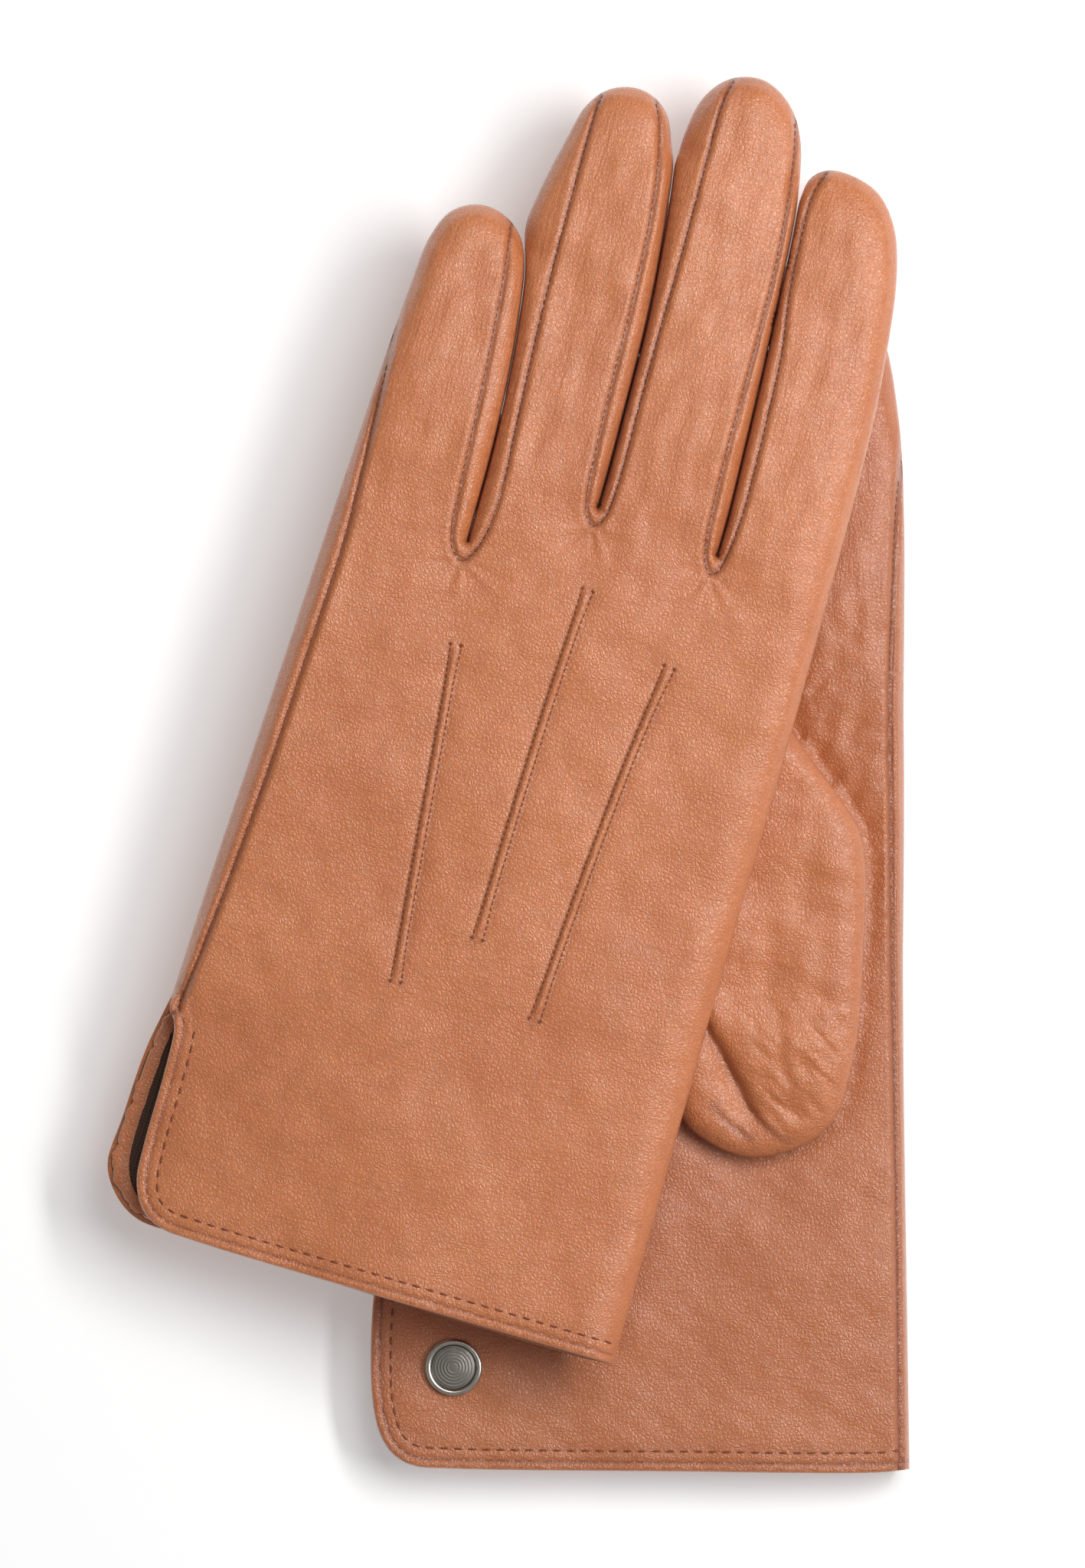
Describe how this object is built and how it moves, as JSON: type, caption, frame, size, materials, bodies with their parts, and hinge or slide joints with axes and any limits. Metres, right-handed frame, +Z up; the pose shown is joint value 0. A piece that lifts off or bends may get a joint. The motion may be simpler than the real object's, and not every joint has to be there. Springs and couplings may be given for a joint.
{
  "type": "pair of leather dress gloves",
  "caption": "Pair of lined tan leather dress gloves lying one across the other, with bending fingers, swinging thumbs and a slit at each wrist.",
  "frame": {"origin": "centre of the pair's outline, on the surface that it lies on", "axes": "+X right across the lower glove, +Y towards the fingertips, +Z up"},
  "size_m": [0.1588, 0.2744, 0.0286],
  "materials": {
    "leather": "smooth tan nappa, satin",
    "lining": "brown knitted, matte",
    "badge_rim": "polished nickel",
    "badge_plate": "brushed antique nickel"
  },
  "bodies": {
    "right_hand": {"right_back_panel": "leather", "right_badge_backing": "badge_plate", "right_badge_plate": "badge_plate", "right_badge_rim": "badge_rim", "right_cuff_facing": "leather", "right_hand_lining": "lining", "right_palm_panel": "leather"},
    "right_thumb": {"right_thumb_lining": "lining", "right_thumb_outer": "leather", "right_thumb_under": "leather"},
    "right_index": {"right_index_back": "leather", "right_index_fourchette_little_side": "leather", "right_index_lining": "lining", "right_index_palm": "leather"},
    "right_middle": {"right_middle_back": "leather", "right_middle_fourchette_index_side": "leather", "right_middle_fourchette_little_side": "leather", "right_middle_lining": "lining", "right_middle_palm": "leather"},
    "right_ring": {"right_ring_back": "leather", "right_ring_fourchette_index_side": "leather", "right_ring_fourchette_little_side": "leather", "right_ring_lining": "lining", "right_ring_palm": "leather"},
    "right_little": {"right_little_back": "leather", "right_little_fourchette_index_side": "leather", "right_little_lining": "lining", "right_little_palm": "leather"},
    "left_hand": {"left_back_panel": "leather", "left_cuff_facing": "leather", "left_hand_lining": "lining", "left_palm_panel": "leather"},
    "left_thumb": {"left_thumb_lining": "lining", "left_thumb_outer": "leather", "left_thumb_under": "leather"},
    "left_index": {"left_index_back": "leather", "left_index_fourchette_little_side": "leather", "left_index_lining": "lining", "left_index_palm": "leather"},
    "left_middle": {"left_middle_back": "leather", "left_middle_fourchette_index_side": "leather", "left_middle_fourchette_little_side": "leather", "left_middle_lining": "lining", "left_middle_palm": "leather"},
    "left_ring": {"left_ring_back": "leather", "left_ring_fourchette_index_side": "leather", "left_ring_fourchette_little_side": "leather", "left_ring_lining": "lining", "left_ring_palm": "leather"},
    "left_little": {"left_little_back": "leather", "left_little_fourchette_index_side": "leather", "left_little_lining": "lining", "left_little_palm": "leather"}
  },
  "joints": [
    {"name": "left_glove_lift", "type": "slide", "parent": "right_hand", "child": "left_hand", "axis": [0, 0, 1], "range_m": [0, 0.12]},
    {"name": "right_index_bend", "type": "hinge", "parent": "right_hand", "child": "right_index", "pos_m": [0.06616, 0.02096, 0.01], "axis": [1, 0, 0], "range_deg": [0, 40]},
    {"name": "right_middle_bend", "type": "hinge", "parent": "right_hand", "child": "right_middle", "pos_m": [0.04196, 0.02396, 0.01], "axis": [1, 0, 0], "range_deg": [0, 40]},
    {"name": "right_ring_bend", "type": "hinge", "parent": "right_hand", "child": "right_ring", "pos_m": [0.01791, 0.02396, 0.01], "axis": [1, 0, 0], "range_deg": [0, 40]},
    {"name": "right_little_bend", "type": "hinge", "parent": "right_hand", "child": "right_little", "pos_m": [-0.00729, 0.01096, 0.01], "axis": [1, 0, 0], "range_deg": [0, 40]},
    {"name": "right_thumb_swing", "type": "hinge", "parent": "right_hand", "child": "right_thumb", "pos_m": [0.05041, -0.05439, 0.0143], "axis": [0, 0, 1], "range_deg": [-20, 0]},
    {"name": "left_index_bend", "type": "hinge", "parent": "left_hand", "child": "left_index", "pos_m": [0.05277, 0.0393, 0.0286], "axis": [0.9593, -0.2823, 0], "range_deg": [0, 40]},
    {"name": "left_middle_bend", "type": "hinge", "parent": "left_hand", "child": "left_middle", "pos_m": [0.0304, 0.04901, 0.0286], "axis": [0.9593, -0.2823, 0], "range_deg": [0, 40]},
    {"name": "left_ring_bend", "type": "hinge", "parent": "left_hand", "child": "left_ring", "pos_m": [0.00733, 0.0558, 0.0286], "axis": [0.9593, -0.2823, 0], "range_deg": [0, 40]},
    {"name": "left_little_bend", "type": "hinge", "parent": "left_hand", "child": "left_little", "pos_m": [-0.02051, 0.05044, 0.0286], "axis": [0.9593, -0.2823, 0], "range_deg": [0, 40]},
    {"name": "left_thumb_swing", "type": "hinge", "parent": "left_hand", "child": "left_thumb", "pos_m": [0.00296, -0.02458, 0.0143], "axis": [0, 0, 1], "range_deg": [-20, 0]}
  ],
  "couplings": [
    {"joint": "right_index_bend", "follows": "left_glove_lift", "rad_per_m": 5.812},
    {"joint": "right_middle_bend", "follows": "left_glove_lift", "rad_per_m": 5.812},
    {"joint": "right_ring_bend", "follows": "left_glove_lift", "rad_per_m": 5.812},
    {"joint": "right_little_bend", "follows": "left_glove_lift", "rad_per_m": 5.812},
    {"joint": "left_thumb_swing", "follows": "left_glove_lift", "rad_per_m": -2.906}
  ]
}
